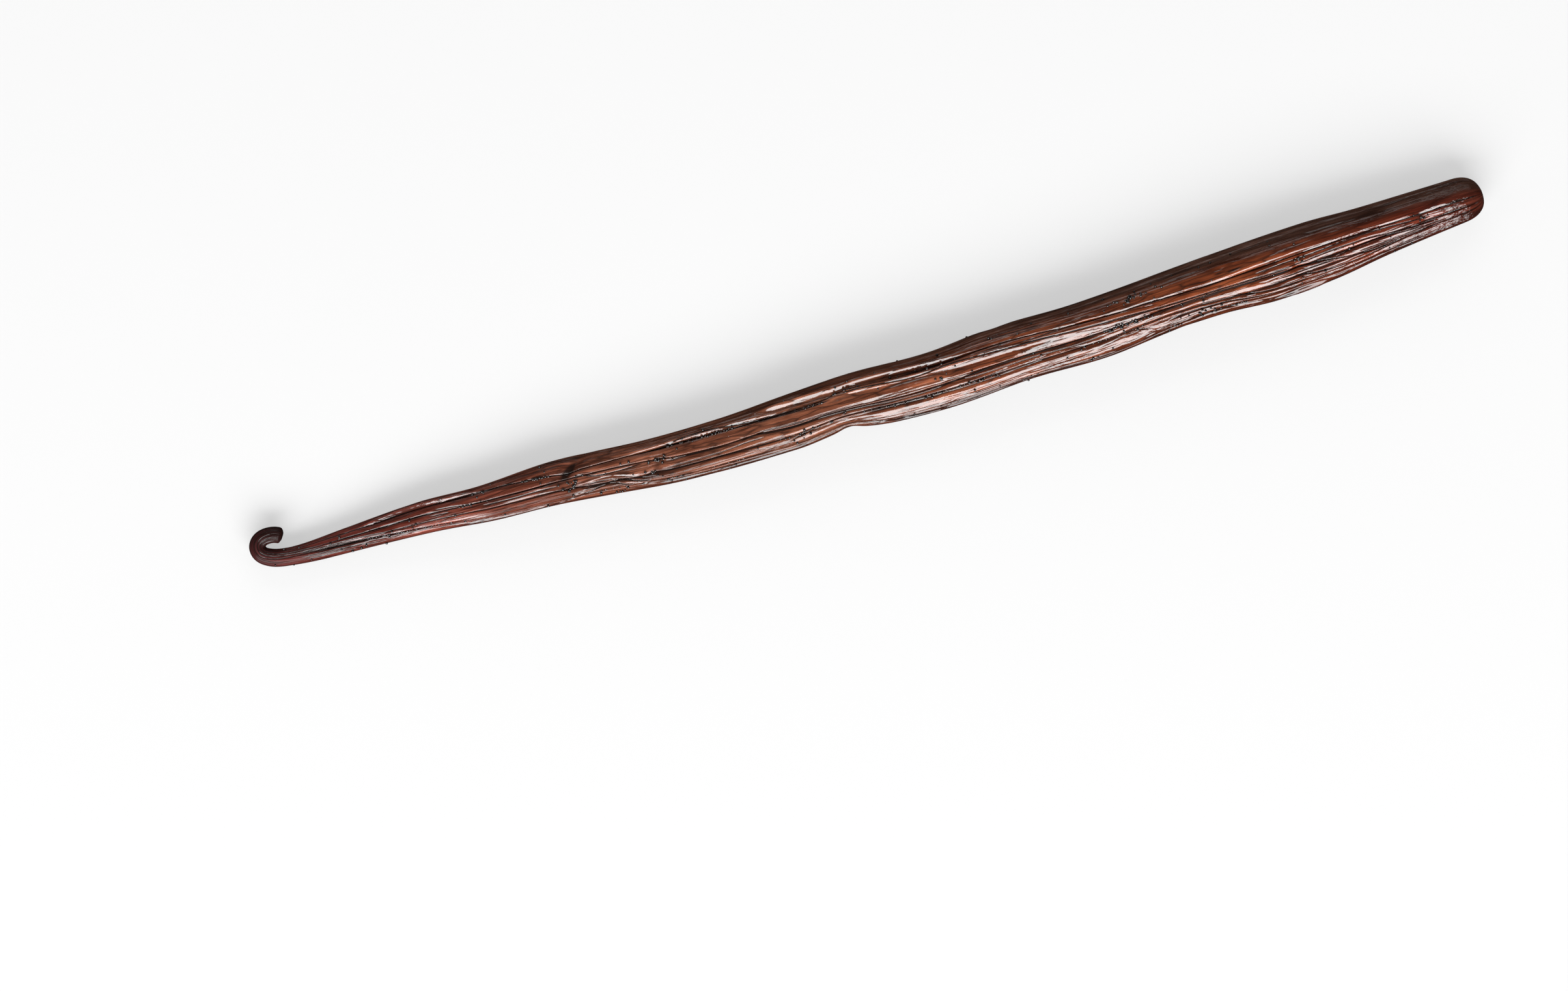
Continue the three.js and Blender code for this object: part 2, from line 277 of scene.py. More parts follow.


# %% [markdown]
# ## Grooves and steps
#
# Between the long creases the skin is wrinkled more finely, in two ways. A groove is a narrow V, whose
# walls catch the light as thin lines. A step is where one pleat of skin lies over the next: it drops in a
# short even slope, which shines as a ribbon, and is level on either side. Noise could wrinkle the skin too,
# but it draws no long lines that run side by side. So the ones that show most are listed one by one, and
# the rest are drawn at random from a fixed seed, alike each time.

# %% The grooves and steps listed one by one
GROOVES = [  # depth, width of the left wall, width of the right wall in mm, run as (mm, degrees)
    (0.16, 0.16, 0.45, [(9, 84), (12, 87), (16, 90), (19, 98), (22, 110), (25, 118), (29, 124)]),
    (0.14, 0.16, 0.45, [(11, 100), (14, 98), (17, 102), (19, 111), (22, 121), (28, 134), (32, 142)]),
    (0.14, 0.16, 0.14, [(10, 126), (15, 128), (18, 142), (21, 157), (26, 166)]),
    (0.14, 0.16, 0.45, [(9, 110), (14, 110), (17, 114), (19, 127), (22, 134)]),
    (0.16, 0.16, 0.12, [(14, 70), (18, 73), (22, 74), (27, 76), (29, 78)]),
    (0.12, 0.2, 0.14, [(14, 54), (18, 50), (23, 46), (28, 50), (34, 55), (40, 52)]),
    (0.14, 0.16, 0.14, [(27, 70), (30, 75), (32, 82), (34, 86), (40, 89), (45, 89)]),
    (0.14, 0.16, 0.12, [(26, 84), (28, 87), (31, 92)]),
    (0.13, 0.16, 0.45, [(33, 95), (38, 98), (42, 97), (45, 100)]),
    (0.16, 0.18, 0.14, [(30, 150), (34, 158), (38, 161), (43, 160), (46, 144), (49, 125), (51, 122),
        (53, 135), (57, 156)]),
    (0.14, 0.18, 0.14, [(45.5, 88), (47, 86), (49, 95), (52, 97), (56, 93)]),
    (0.14, 0.16, 0.45, [(46.5, 110), (50, 110), (52, 115), (54, 122), (57, 130)]),
    (0.16, 0.18, 0.14, [(46.5, 121), (50, 119), (51.5, 117), (53, 123), (57, 146)]),
    (0.2, 0.16, 0.14, [(55, 70), (58, 65), (61, 57), (64, 56), (67, 60), (70, 67), (74, 71), (78, 72)]),
    (0.2, 0.18, 0.14, [(56, 69), (60, 66), (64, 67), (67, 63)]),
    (0.2, 0.16, 0.14, [(67, 70), (71, 72), (74, 75), (78, 76), (81, 72)]),
    (0.14, 0.16, 0.45, [(57, 100), (61, 101), (65, 102), (68, 103)]),
    (0.15, 0.16, 0.45, [(67, 103), (69, 99), (71.5, 95), (74, 96), (79, 96)]),
    (0.15, 0.16, 0.45, [(70, 97), (73, 102), (76, 103), (78.5, 102), (84, 104), (87, 106)]),
    (0.13, 0.16, 0.45, [(57, 116), (60, 113), (65, 111), (69, 106), (72, 105)]),
    (0.14, 0.16, 0.45, [(56, 121), (60, 122), (64, 121), (69, 121)]),
    (0.2, 0.14, 0.2, [(56, 143), (62, 143), (68, 144), (72, 146)]),
    (0.2, 0.14, 0.16, [(56, 154), (64, 156), (72, 156), (80, 152), (84, 152), (90, 164), (96, 170)]),
    (0.16, 0.16, 0.14, [(73.5, 132), (75, 127), (77, 122), (78, 116)]),
    (0.2, 0.16, 0.14, [(81, 67), (84, 69), (88, 74), (92, 77), (96, 75), (100, 78), (104, 81),
        (108, 83), (112, 87), (116, 90), (120, 92), (124, 96), (130, 99), (136, 101), (142, 102)]),
    (0.14, 0.16, 0.45, [(84, 105), (88, 108), (91, 109), (94, 108), (96.5, 105), (99, 108), (103, 109),
        (108, 110), (112, 112), (117, 110)]),
    (0.14, 0.16, 0.45, [(94, 95), (96, 98.5), (98, 99.5), (101, 100), (105, 102), (112, 104), (116, 105)]),
    (0.15, 0.18, 0.45, [(84, 113), (88, 115), (92, 116), (96, 118), (101, 117), (104, 113)]),
    (0.2, 0.14, 0.4, [(84, 121), (90, 122), (96, 124), (102, 126), (107, 124), (112, 121), (118, 121)]),
    (0.18, 0.12, 0.2, [(84, 148), (88, 151), (93, 153), (100, 153), (106, 154), (112, 155), (118, 154)]),
    (0.14, 0.16, 0.12, [(86, 158), (94, 164), (104, 165), (114, 166)]),
    (0.16, 0.16, 0.5, [(122, 102), (126, 104), (130, 104), (134, 105), (138, 107)]),
    (0.16, 0.2, 0.14, [(119.5, 120), (120.5, 126), (122, 136), (123, 148)]),
    (0.14, 0.14, 0.12, [(122, 142), (126, 146), (130, 148), (135, 152), (142, 160)]),
    (0.16, 0.14, 0.14, [(124, 132), (128, 130), (132, 133), (136, 140), (141, 146)]),
    (0.14, 0.16, 0.12, [(131, 73), (134, 77), (137, 79)]),
    (0.16, 0.16, 0.14, [(128, 119), (131, 121), (134, 126), (137, 133), (140, 136), (144, 137)]),
    (0.13, 0.1, 0.09, [(136, 94), (140, 92.5), (144, 92), (147, 91), (150, 89.5), (154, 91), (158, 96),
        (161, 100)]),
    (0.13, 0.1, 0.09, [(138, 99), (142, 100), (145, 98), (148, 97), (152, 99), (155, 105), (158, 111),
        (162, 114)]),
    (0.15, 0.12, 0.1, [(138, 107), (143, 107), (145, 108.5), (147, 114), (149, 121), (151, 128),
        (153, 132), (157, 130)]),
    (0.13, 0.1, 0.09, [(146.5, 114), (149, 109), (151, 106.5), (154, 108), (157, 114), (160, 118)]),
    (0.12, 0.1, 0.09, [(139, 114), (142, 116), (145, 115), (148, 118)]),
    (0.14, 0.12, 0.1, [(138, 121), (142, 124), (145, 131), (148, 136), (151, 138), (154, 136), (158, 131),
        (162, 127)]),
    (0.12, 0.1, 0.1, [(143, 140), (147, 146), (151, 148), (155, 147), (160, 143)]),
    (0.12, 0.09, 0.09, [(150, 119), (153, 121), (156, 123), (159, 121), (163, 120)]),
    (0.12, 0.16, 0.3, [(161, 104), (163, 106), (166, 110)]),
    (0.12, 0.14, 0.14, [(160, 91), (163, 88), (166, 85)]),
    (0.12, 0.14, 0.14, [(88, 40), (92, 40), (96, 43), (102, 50), (110, 54)]),
]

STEPS = [  # width of the way back in mm, run as (mm, degrees, width of the slope in mm)
    (0.9, [(17, 52, 0.1), (20, 44, 0.16), (26, 40, 0.16), (31, 46, 0.16), (35, 52, 0.12)]),
    (0.9, [(35, 106, 0.15), (38, 105, 0.28), (42, 107, 0.28), (45, 114, 0.15)]),
    (0.8, [(53, 60, 0.15), (56, 65, 0.22), (60, 62, 0.22), (66, 61, 0.2), (72, 65, 0.15), (78, 67, 0.12)]),
    (1.3, [(70, 48, 0.15), (74, 52, 0.34), (78, 54, 0.34), (81, 53, 0.24), (84, 52, 0.26), (88, 54.5, 0.3),
        (91, 58, 0.36), (94, 60.5, 0.3), (97, 62, 0.2), (101, 66, 0.12)]),
    (0.8, [(79, 76, 0.2), (82, 71, 0.36), (86, 75, 0.4), (91, 77, 0.45), (95, 79.5, 0.6), (98, 82.5, 0.7),
        (102, 84, 0.65), (105, 86, 0.55), (109, 88, 0.45), (113, 91, 0.3)]),
    (0.5, [(86, 86, 0.12), (89, 88, 0.2), (94, 90, 0.2), (97, 89, 0.12)]),
    (0.9, [(102.5, 94, 0.2), (106, 95, 0.45), (109, 94, 0.6), (112, 93.5, 0.85), (114, 94, 0.7),
        (116, 95, 0.42), (118, 96, 0.18), (121, 97.5, 0.12), (126, 99.5, 0.12)]),
    (0.7, [(112, 71, 0.14), (114.5, 76, 0.2), (117.8, 82, 0.1)]),
    (0.8, [(130.5, 61, 0.12), (133.5, 66, 0.22), (137.5, 70, 0.12)]),
    (0.8, [(124, 83, 0.1), (127, 84.5, 0.25), (130, 86, 0.2), (133, 86.5, 0.2), (136, 84.5, 0.5),
        (140, 85.5, 0.85), (143, 85.5, 0.75), (146, 86.5, 0.35), (149, 86, 0.2), (152, 86.5, 0.25),
        (155, 88.5, 0.2), (159, 93, 0.14)]),
    (0.5, [(142, 98, 0.12), (146, 95.5, 0.22), (149, 94.5, 0.22), (152, 96, 0.22), (154, 100, 0.2),
        (157, 107, 0.12)]),
    (0.6, [(160.5, 101, 0.15), (163, 99, 0.3), (166.5, 101, 0.2)]),
    (0.4, [(45, 136, 0.1), (47, 111, 0.16), (48.5, 104, 0.2), (51, 103, 0.2), (53, 110, 0.16),
        (55, 117, 0.16), (58, 124, 0.1)]),
    (0.4, [(44, 150, 0.12), (46.5, 131, 0.14), (48, 114, 0.16), (51, 111, 0.18), (52.5, 121, 0.16),
        (54, 133, 0.16), (57, 150, 0.1)]),
    (0.5, [(30, 86, 0.1), (34, 88, 0.18), (39, 92, 0.16), (44, 94, 0.12)]),
    (0.5, [(28, 132, 0.1), (31, 143, 0.2), (35, 153, 0.22), (40, 156, 0.18), (44, 157, 0.12)]),
    (0.6, [(26.5, 110, 0.1), (29.5, 119, 0.24), (33, 127, 0.3), (36, 131, 0.12)]),
    (0.3, [(140, 103, 0.15), (143, 103, 0.4), (146, 101, 0.6), (149, 101, 0.65), (152, 104, 0.5),
        (155, 109, 0.2)]),
    (0.3, [(146, 113, 0.2), (149, 115, 0.7), (153, 116, 0.8), (156, 117, 0.5), (158, 118, 0.15)]),
    (0.3, [(155.5, 124, 0.12), (158, 122, 0.5), (160.5, 120, 0.5), (163, 117, 0.6), (166, 115, 0.4)]),
    (0.3, [(139, 127, 0.15), (143, 132, 0.45), (147, 138, 0.45), (151, 141, 0.4), (155, 138, 0.3),
        (160, 134, 0.2)]),
    (0.25, [(150, 128, 0.1), (153, 128, 0.3), (157, 127, 0.25), (161, 126, 0.1)]),
    (0.5, [(138.5, 157, 0.15), (141, 159, 0.5), (144, 160, 0.5), (147, 160, 0.15)]),
    (0.4, [(11, 80, 0.08), (15, 84, 0.12), (18, 90, 0.16), (21, 98, 0.18), (24, 109, 0.18), (27, 122, 0.14),
        (29, 130, 0.08)]),
    (0.35, [(12, 97, 0.07), (15, 100, 0.1), (18, 108, 0.12), (21, 119, 0.14), (24, 132, 0.12),
        (27, 148, 0.08)]),
    (0.9, [(83, 139, 0.2), (88, 141, 0.5), (94, 142, 0.7), (100, 142, 0.75), (106, 143, 0.75),
        (112, 143, 0.6), (117, 142, 0.25)]),
]
GROOVE_EDGE = 1.3
GROOVE_FADE = 2.0
GROOVE_SIZE = [(0, 0.36), (12, 0.42), (24, 0.6), (40, 0.85), (60, 1), (168.2, 1)]  # finer on the tail
CREASE_GROOVE = (0.12, 0.15, 0.14)  # one at the bottom of each long crease
STEP_LEAN = 28  # degrees to the right of level
DEEPEST_STEP = 0.75
STEP_FADE = 3.0
print(len(GROOVES), "grooves and", len(STEPS), "steps placed by hand")


# %% Draw the rest
DRAWN_GROOVES = 230
DRAWN_DEPTH = (0.02, 0.09)
DRAWN_WALL = (0.12, 0.34)
DRAWN_LENGTH = (6, 30)
DRAWN_DRIFT = 4  # degrees
BARE_ENDS = (4, 10)  # mm at the stem and at the blossom end where none of them starts

chance = np.random.default_rng(11)


def draw_grooves(count):
    """Random grooves: each starts somewhere on the pod, and drifts a little round it as it runs."""
    drawn = []
    for _ in range(count):
        start = chance.uniform(BARE_ENDS[0], POD_LENGTH - BARE_ENDS[1])
        length = chance.uniform(*DRAWN_LENGTH)
        first = chance.uniform(0, 360)
        second, third = first + chance.normal(0, DRAWN_DRIFT, 2).cumsum()
        run = [(start, first), (start + length / 2, second), (start + length, third)]
        drawn.append((chance.uniform(*DRAWN_DEPTH), *chance.uniform(*DRAWN_WALL, 2), run))
    return drawn


along_creases = [(*CREASE_GROOVE, run) for run in CREASE_RUNS.values()]
oily_grooves = GROOVES + along_creases
grooves = oily_grooves + draw_grooves(DRAWN_GROOVES)
print(len(grooves), "grooves with those along the creases and those drawn")


# %% How deep they are
def ends_of(run):
    """Where along the pod a run starts and where it ends."""
    return run[0][0], run[-1][0]


def groove_depth(s, angle):
    """How far the grooves push the skin in: depth * (1 - distance / wall)^edge, so both walls are
    nearly straight and end in a crisp edge."""
    depth = np.zeros(np.broadcast(s, angle).shape)
    scale, _ = slice_slope(s, angle)
    size = along(GROOVE_SIZE, s)
    for deep, left_wall, right_wall, run in grooves:
        off = turn_between(along(run, s), angle) * scale / size
        near = np.where(off < 0, -off / left_wall, off / right_wall)
        wall = np.clip(1 - near, 0, 1) ** GROOVE_EDGE
        depth += deep * size * faded(ends_of(run), GROOVE_FADE, s) * wall
    return depth


def step_lines(stations, s):
    """The middle of a step's slope, in degrees round the pod, and the slope's width in mm."""
    middle_line = along([(place, middle) for place, middle, _ in stations], s)
    return middle_line, along([(place, wide) for place, _, wide in stations], s)


def step_depth(s, angle):
    """How far the steps push the skin in: from half the drop outwards to half the drop inwards,
    straight across the slope, and back to 0 along a smooth curve on either side. The drop is
    width * tan(step lean - slice lean), so that every slope leans alike."""
    depth = np.zeros(np.broadcast(s, angle).shape)
    scale, _ = slice_slope(s, angle)
    for back, stations in STEPS:
        middle_line, width = step_lines(stations, s)
        _, lean = slice_slope(s, middle_line)
        drop = np.minimum(width * np.tan(np.radians(STEP_LEAN - lean)), DEEPEST_STEP)
        off = turn_between(middle_line, angle) * scale
        ramp = np.clip(off / width, -0.5, 0.5)
        away = 1 - smoothstep(np.abs(off), width / 2, width / 2 + back)
        depth += drop * faded(ends_of(stations), STEP_FADE, s) * ramp * away
    return depth


# %% [markdown]
# ## The skin
#
# A subdivided solid would have as many points on its flat strips as in its creases, so the skin is a
# grid of its own. Its rings stand closer together in the hook and at the blossom end, and its
# lengthwise lines keep to the long creases, so each crease stays sharp. So fine a grid is made as
# two closed halves, which meet in one ring and share the normals there, so no seam shows.


# %% A point of the skin
def fullness(s):
    """The share of its full size that a slice has: a superellipse at the blossom end, a worn edge
    at the cut stem, and 1 in between."""
    past = np.clip((s - (POD_LENGTH - BLOSSOM_CAP)) / BLOSSOM_CAP, 0, 1)
    blossom = (1 - past**BLOSSOM_SQUARENESS) ** (1 / BLOSSOM_SQUARENESS)
    worn = np.clip(1 - s / STEM_BEVEL, 0, 1)
    return blossom - STEM_WEAR * worn**2


def skin_point(s, angle):
    """A point of the skin, in mm: the plain slice, pushed in by folds, kinks, grooves and steps,
    pressed flat where it is under the floor, and put on the centre line."""
    left, up = slice_outline(s, angle)
    pushed_in = fold_depth(s, angle) + kink_depth(s, angle)
    pushed_in += groove_depth(s, angle) + step_depth(s, angle)
    scale = (1 - pushed_in / np.hypot(left, up)) * fullness(s)
    height = (along(HEIGHT, s) - BELLY_PRESS) / 2 + up * scale + along(LIFT, s)
    return onto_path(s, left * scale, np.maximum(height, 0))


# %% Lay out the grid
RINGS = {"bevel": 4, "hook": 76, "body": 938, "cap": 22}
LINES_A_FOLD = [22, 30, 26, 30, 22, 12, 8, 8, 12, 20]  # in the order of the creases


def ring_places():
    """Where the rings stand: even in each stretch, and by the sine of an even angle in the cap."""
    body_end = POD_LENGTH - BLOSSOM_CAP
    bevel = np.linspace(0, STEM_BEVEL, RINGS["bevel"], endpoint=False)
    hook = np.linspace(STEM_BEVEL, HOOK_LENGTH, RINGS["hook"], endpoint=False)
    body = np.linspace(HOOK_LENGTH, body_end, RINGS["body"], endpoint=False)
    cap = body_end + BLOSSOM_CAP * np.sin(np.linspace(0, math.pi / 2, RINGS["cap"], endpoint=False))
    return np.concatenate([bevel, hook, body, cap])


def line_angles(s):
    """The angle of every lengthwise line at s: each fold is divided evenly from crease to crease."""
    angles, runs = [], list(CREASE_RUNS.values())
    for run, next_run, lines in zip(runs, runs[1:] + runs[:1], LINES_A_FOLD):
        start = along(run, s)[:, None]
        width = (along(next_run, s)[:, None] - start) % 360
        angles.append(start + width * np.arange(lines) / lines)
    return np.concatenate(angles, axis=1)


places = ring_places()
angles = line_angles(places)
rings, lines = angles.shape
s_grid = np.broadcast_to(places[:, None], angles.shape)
skin_grid = skin_point(s_grid, angles)
print(rings, "rings of", lines, "points")


# %% Faces, pieces and outward directions
def tube_faces(rings, lines):
    """Four-sided faces between neighbouring rings, facing out, as an array of point numbers."""
    ring, line = np.meshgrid(np.arange(rings - 1), np.arange(lines), indexing="ij")
    here = ring * lines + line
    beside = ring * lines + (line + 1) % lines
    return np.stack([here, beside, beside + lines, here + lines], axis=-1).reshape(-1, 4)


def fan_faces(tip, ring_start, lines, forwards):
    """Three-sided faces from a tip to a ring. Forwards, they close the last ring, and otherwise the
    first one, turned the other way."""
    line = np.arange(lines)
    here = ring_start + line
    beside = ring_start + (line + 1) % lines
    ends = (here, beside) if forwards else (beside, here)
    return np.stack([np.full(lines, tip), *ends], axis=-1)


def new_piece(name, points, faces):
    """A mesh object from points in metres and a list of faces, smooth all over."""
    mesh = bpy.data.meshes.new(name)
    mesh.from_pydata(points, [], faces)
    mesh.polygons.foreach_set("use_smooth", np.ones(len(mesh.polygons), bool))
    mesh.update()
    piece = bpy.data.objects.new(name, mesh)
    bpy.context.scene.collection.objects.link(piece)
    return piece


def outwards(round_slope, along_slope):
    """The outward direction where a tube slopes so: the cross product, made one long."""
    normal = np.cross(round_slope, along_slope)
    return normal / np.linalg.norm(normal, axis=-1, keepdims=True)


# %% Make the skin's mesh
def end_point(s):
    """The middle of a slice, in mm, which closes an end: half the height above the pressed belly."""
    return onto_path(np.array([s]), 0, (along(HEIGHT, s) - BELLY_PRESS) / 2 + along(LIFT, s))


round_slopes = np.roll(skin_grid, -1, axis=1) - np.roll(skin_grid, 1, axis=1)
skin_normals = outwards(round_slopes, np.gradient(skin_grid, axis=0))
seam = rings // 2
HALVES = {  # rings, and where along the pod each end is closed, in mm
    "skin_stem_half": (slice(0, seam + 1), STEM_DISH, places[seam]),
    "skin_blossom_half": (slice(seam, rings), places[seam], POD_LENGTH),
}
middle = (skin_grid.min(axis=(0, 1)) + skin_grid.max(axis=(0, 1))) / 2 - (pod_low + pod_high) / 2 / MM
middle[2] = 0


def skin_half(name):
    """A closed half of the skin: its rings, and a fan of faces at either end."""
    part, first_end, last_end = HALVES[name]
    grid = skin_grid[part]
    count = len(grid)
    points = np.concatenate([grid.reshape(-1, 3), end_point(first_end), end_point(last_end)])
    faces = tube_faces(count, lines).tolist()
    faces += fan_faces(count * lines, 0, lines, False).tolist()
    faces += fan_faces(count * lines + 1, (count - 1) * lines, lines, True).tolist()
    piece = new_piece(name, (points - middle) * MM, faces)
    end_normals = [(-1, 0, 0), (1, 0, 0)]
    piece.data.normals_split_custom_set_from_vertices(
        np.concatenate([skin_normals[part].reshape(-1, 3), end_normals]))
    return piece


skin_halves = {name: skin_half(name) for name in HALVES}
for name, half in skin_halves.items():
    print(name, len(half.data.vertices), "points,", len(half.data.polygons), "faces")

# %% [markdown]
# ## Marks on the skin for its finish
#
# The finish has to follow the pod, and a picture wrapped round it would show a seam. So each point of the
# skin gets three marks. The first is where it would lie if the pod were pulled straight and round, which
# the patterns read. The second is how near it is to the bottom of a groove or kink, where painted shade
# darkens the colour nearly to black. The third is how near it is to a long crease, or to a groove or step
# given one by one, where oil gathers.

# %% How near a groove or a step is
FULL_DEPTH = 0.17  # a groove this deep, or deeper, gets the full painted shade and is oily all the way


def near_groove(chosen, s, angle, spread):
    """How near the closest of the chosen grooves is: min(1, depth / full) * exp(-(distance /
    spread)^2), where full is the depth that counts as 1."""
    nearness = np.zeros(np.broadcast(s, angle).shape)
    scale, _ = slice_slope(s, angle)
    for deep, _, _, run in chosen:
        off = turn_between(along(run, s), angle) * scale
        line = faded(ends_of(run), GROOVE_FADE, s) * bell(off, spread)
        nearness = np.maximum(nearness, min(1, deep / FULL_DEPTH) * line)
    return nearness


def near_step(s, angle, spread):
    """How near the closest step is: 1 on its slope, and exp(-(distance / spread)^2) beyond it."""
    nearness = np.zeros(np.broadcast(s, angle).shape)
    scale, _ = slice_slope(s, angle)
    for _, stations in STEPS:
        middle_line, width = step_lines(stations, s)
        beyond = np.maximum(np.abs(turn_between(middle_line, angle)) * scale - width / 2, 0)
        nearness = np.maximum(nearness, faded(ends_of(stations), STEP_FADE, s) * bell(beyond, spread))
    return nearness


# %% Mark the skin
STRAIGHT_RADIUS = 3.5
DARK_LINE = 0.09  # half width of the painted shade line at the bottom of a groove
WET_LINE = 0.3  # half width of the oily band along a groove or a step
# painted shade: how fast the colour darkens with a kink's depth past SHALLOW_KINK
KINK_DARKNESS = 2.8
SHALLOW_KINK = 0.2  # up to this depth in mm a kink gets no painted shade


def mark(piece, name, kind, values):
    """Stores one value, or one vector, for every point of a piece."""
    attribute = piece.data.attributes.new(name, kind, "POINT")
    field = "vector" if kind == "FLOAT_VECTOR" else "value"
    attribute.data.foreach_set(field, np.asarray(values, np.float32).ravel())


def mark_skin(name, kind, grid_values, end_values):
    """Marks both halves with their part of a grid of values, and a value for each closed end."""
    for half_name, (part, *_) in HALVES.items():
        flat = grid_values[part].reshape(-1, grid_values[0, 0].size)
        ends = np.reshape(end_values[half_name], (2, -1))
        mark(skin_halves[half_name], name, kind, np.concatenate([flat, ends]))


turn = np.radians(angles)
straight = np.stack([s_grid, STRAIGHT_RADIUS * np.cos(turn), STRAIGHT_RADIUS * np.sin(turn)], -1)
# painted shade: the colour is darkened near the bottom of every groove and in deep kinks
kink_shade = KINK_DARKNESS * (kink_depth(s_grid, angles) - SHALLOW_KINK)
crease_shade = np.maximum(near_groove(grooves, s_grid, angles, DARK_LINE), kink_shade)
wet_line = WET_LINE * along(GROOVE_SIZE, s_grid)
wet = near_groove(oily_grooves, s_grid, angles, wet_line)
wet = np.maximum(wet, near_step(s_grid, angles, WET_LINE))
straight_ends = {
    name: np.array([(first, 0, 0), (last, 0, 0)]) * MM for name, (_, first, last) in HALVES.items()}
no_ends = {name: (0, 0) for name in HALVES}
mark_skin("straight", "FLOAT_VECTOR", straight * MM, straight_ends)
mark_skin("crease_shade", "FLOAT", np.clip(crease_shade, 0, 1), no_ends)
mark_skin("wet", "FLOAT", wet, no_ends)
print("share of the skin that is creased", round(float((crease_shade > 0.5).mean()), 3))

# %% [markdown]
# ## Beads
#
# Cured pods sweat a dark oily resin. It dries in the creases as glossy black beads, about a third
# of a millimetre across, in rows, in clusters and scattered singly. Bumps in the skin's finish would
# not stand out at the pod's edges, so the beads are real balls. There are hundreds, so each has only
# a few dozen faces, and all are joined in one mesh.

# %% Where the beads sit
BEAD_ROWS = [  # crease, from and to along the pod in mm, number of beads
    ("right shoulder", 18.5, 30, 34), ("right shoulder", 57, 68, 22), ("right shoulder", 124, 138, 26),
    ("crest", 31, 36, 8), ("crest", 56, 60, 9), ("crest", 116, 122, 26), ("crest", 126, 131, 7),
    ("upper", 39.5, 43.5, 16), ("upper", 57, 69, 26), ("upper", 81, 85, 11), ("upper", 87, 98, 6),
    ("lower", 74, 80, 14), ("lower", 84, 90, 14), ("lower", 92, 102, 22), ("lower", 112, 124, 16),
    ("right edge", 90, 112, 10), ("left edge", 60, 110, 12), ("right of belly", 30, 140, 40),
]
BEAD_CLUSTERS = [  # along in mm, angle, spread along in mm, spread round in degrees, number
    (46, 100, 0.8, 8, 12), (45.8, 112, 0.5, 4, 7), (51.5, 142, 1.2, 10, 16), (57.4, 96, 1, 4, 8),
    (56.3, 118, 0.3, 6, 6), (65, 71, 2.5, 2, 12), (75, 126, 2, 5, 14), (78, 74, 1.2, 2, 9),
    (94.6, 94, 0.3, 2, 5), (98.5, 117, 2, 2, 9), (120.4, 62, 1, 5, 24), (118.6, 104, 1.4, 3, 22),
    (129, 136, 1.5, 4, 9), (142.6, 93, 0.5, 3, 6), (159.6, 97, 0.5, 3, 6), (113.5, 158, 0.6, 4, 5),
    (105.5, 158, 0.9, 4, 6),
]
ROW_SPREAD = (0.5, 1.6)  # how far to the right of its crease a row lies, and its spread, in degrees
SCATTERED_BEADS = 120
SCATTER = (6, 160), (30, 165)  # where they lie: along in mm, and angle
BEAD_RADIUS = (0.1, 0.19)
BEAD_SUNK = 0.5  # share of the radius
BEAD_PROUD = 0.1  # the most that a bead stands above the pod, in mm
BEAD_GRID = (5, 10)  # rings between the poles of a bead, and points in each
NEXT_TO = (0.05, 1)  # how far along in mm, and round in degrees, the skin's slopes at a bead reach


def bead_places():
    """Rows keep to their crease within a degree or two, clusters spread as a normal curve, and the
    rest lie evenly over the skin. Returns distances along and angles round the pod."""
    s_parts, angle_parts = [], []
    for name, start, end, count in BEAD_ROWS:
        s = chance.uniform(start, end, count)
        s_parts.append(s)
        angle_parts.append(along(CREASE_RUNS[name], s) + chance.normal(*ROW_SPREAD, count))
    for s, angle, spread_s, spread_angle, count in BEAD_CLUSTERS:
        s_parts.append(chance.normal(s, spread_s, count))
        angle_parts.append(chance.normal(angle, spread_angle, count))
    s_parts.append(chance.uniform(*SCATTER[0], SCATTERED_BEADS))
    angle_parts.append(chance.uniform(*SCATTER[1], SCATTERED_BEADS))
    return np.concatenate(s_parts), np.concatenate(angle_parts)


def skin_normal(s, angle):
    """The outward direction of the skin, from its slopes just beside a point."""
    ahead, aside = NEXT_TO
    along_slope = skin_point(s + ahead, angle) - skin_point(s - ahead, angle)
    round_slope = skin_point(s, angle + aside) - skin_point(s, angle - aside)
    return outwards(round_slope, along_slope)


# %% Make the beads
def ball(rings_up, around):
    """A unit ball from two poles and rings between them at even angles: its points, and its
    four-sided and three-sided faces."""
    up = np.linspace(-math.pi / 2, math.pi / 2, rings_up + 2)[1:-1, None]
    across = np.linspace(0, 2 * math.pi, around, endpoint=False)
    ring = [np.cos(up) * np.cos(across), np.cos(up) * np.sin(across), np.sin(up) + 0 * across]
    points = np.concatenate([np.stack(ring, axis=-1).reshape(-1, 3), [(0, 0, -1), (0, 0, 1)]])
    bottom = fan_faces(rings_up * around, 0, around, False)
    top = fan_faces(rings_up * around + 1, (rings_up - 1) * around, around, True)
    return points, tube_faces(rings_up, around), np.concatenate([bottom, top])


def scattered(name, template, centres, sizes):
    """One mesh of many copies of a template, each moved to its centre and scaled to its size."""
    points, quads, triangles = template
    all_points = centres[:, None, :] + sizes[:, None, None] * points[None]
    first = np.arange(len(centres))[:, None, None] * len(points)
    faces = (quads + first).reshape(-1, 4).tolist() + (triangles + first).reshape(-1, 3).tolist()
    return new_piece(name, (all_points.reshape(-1, 3) - middle) * MM, faces)


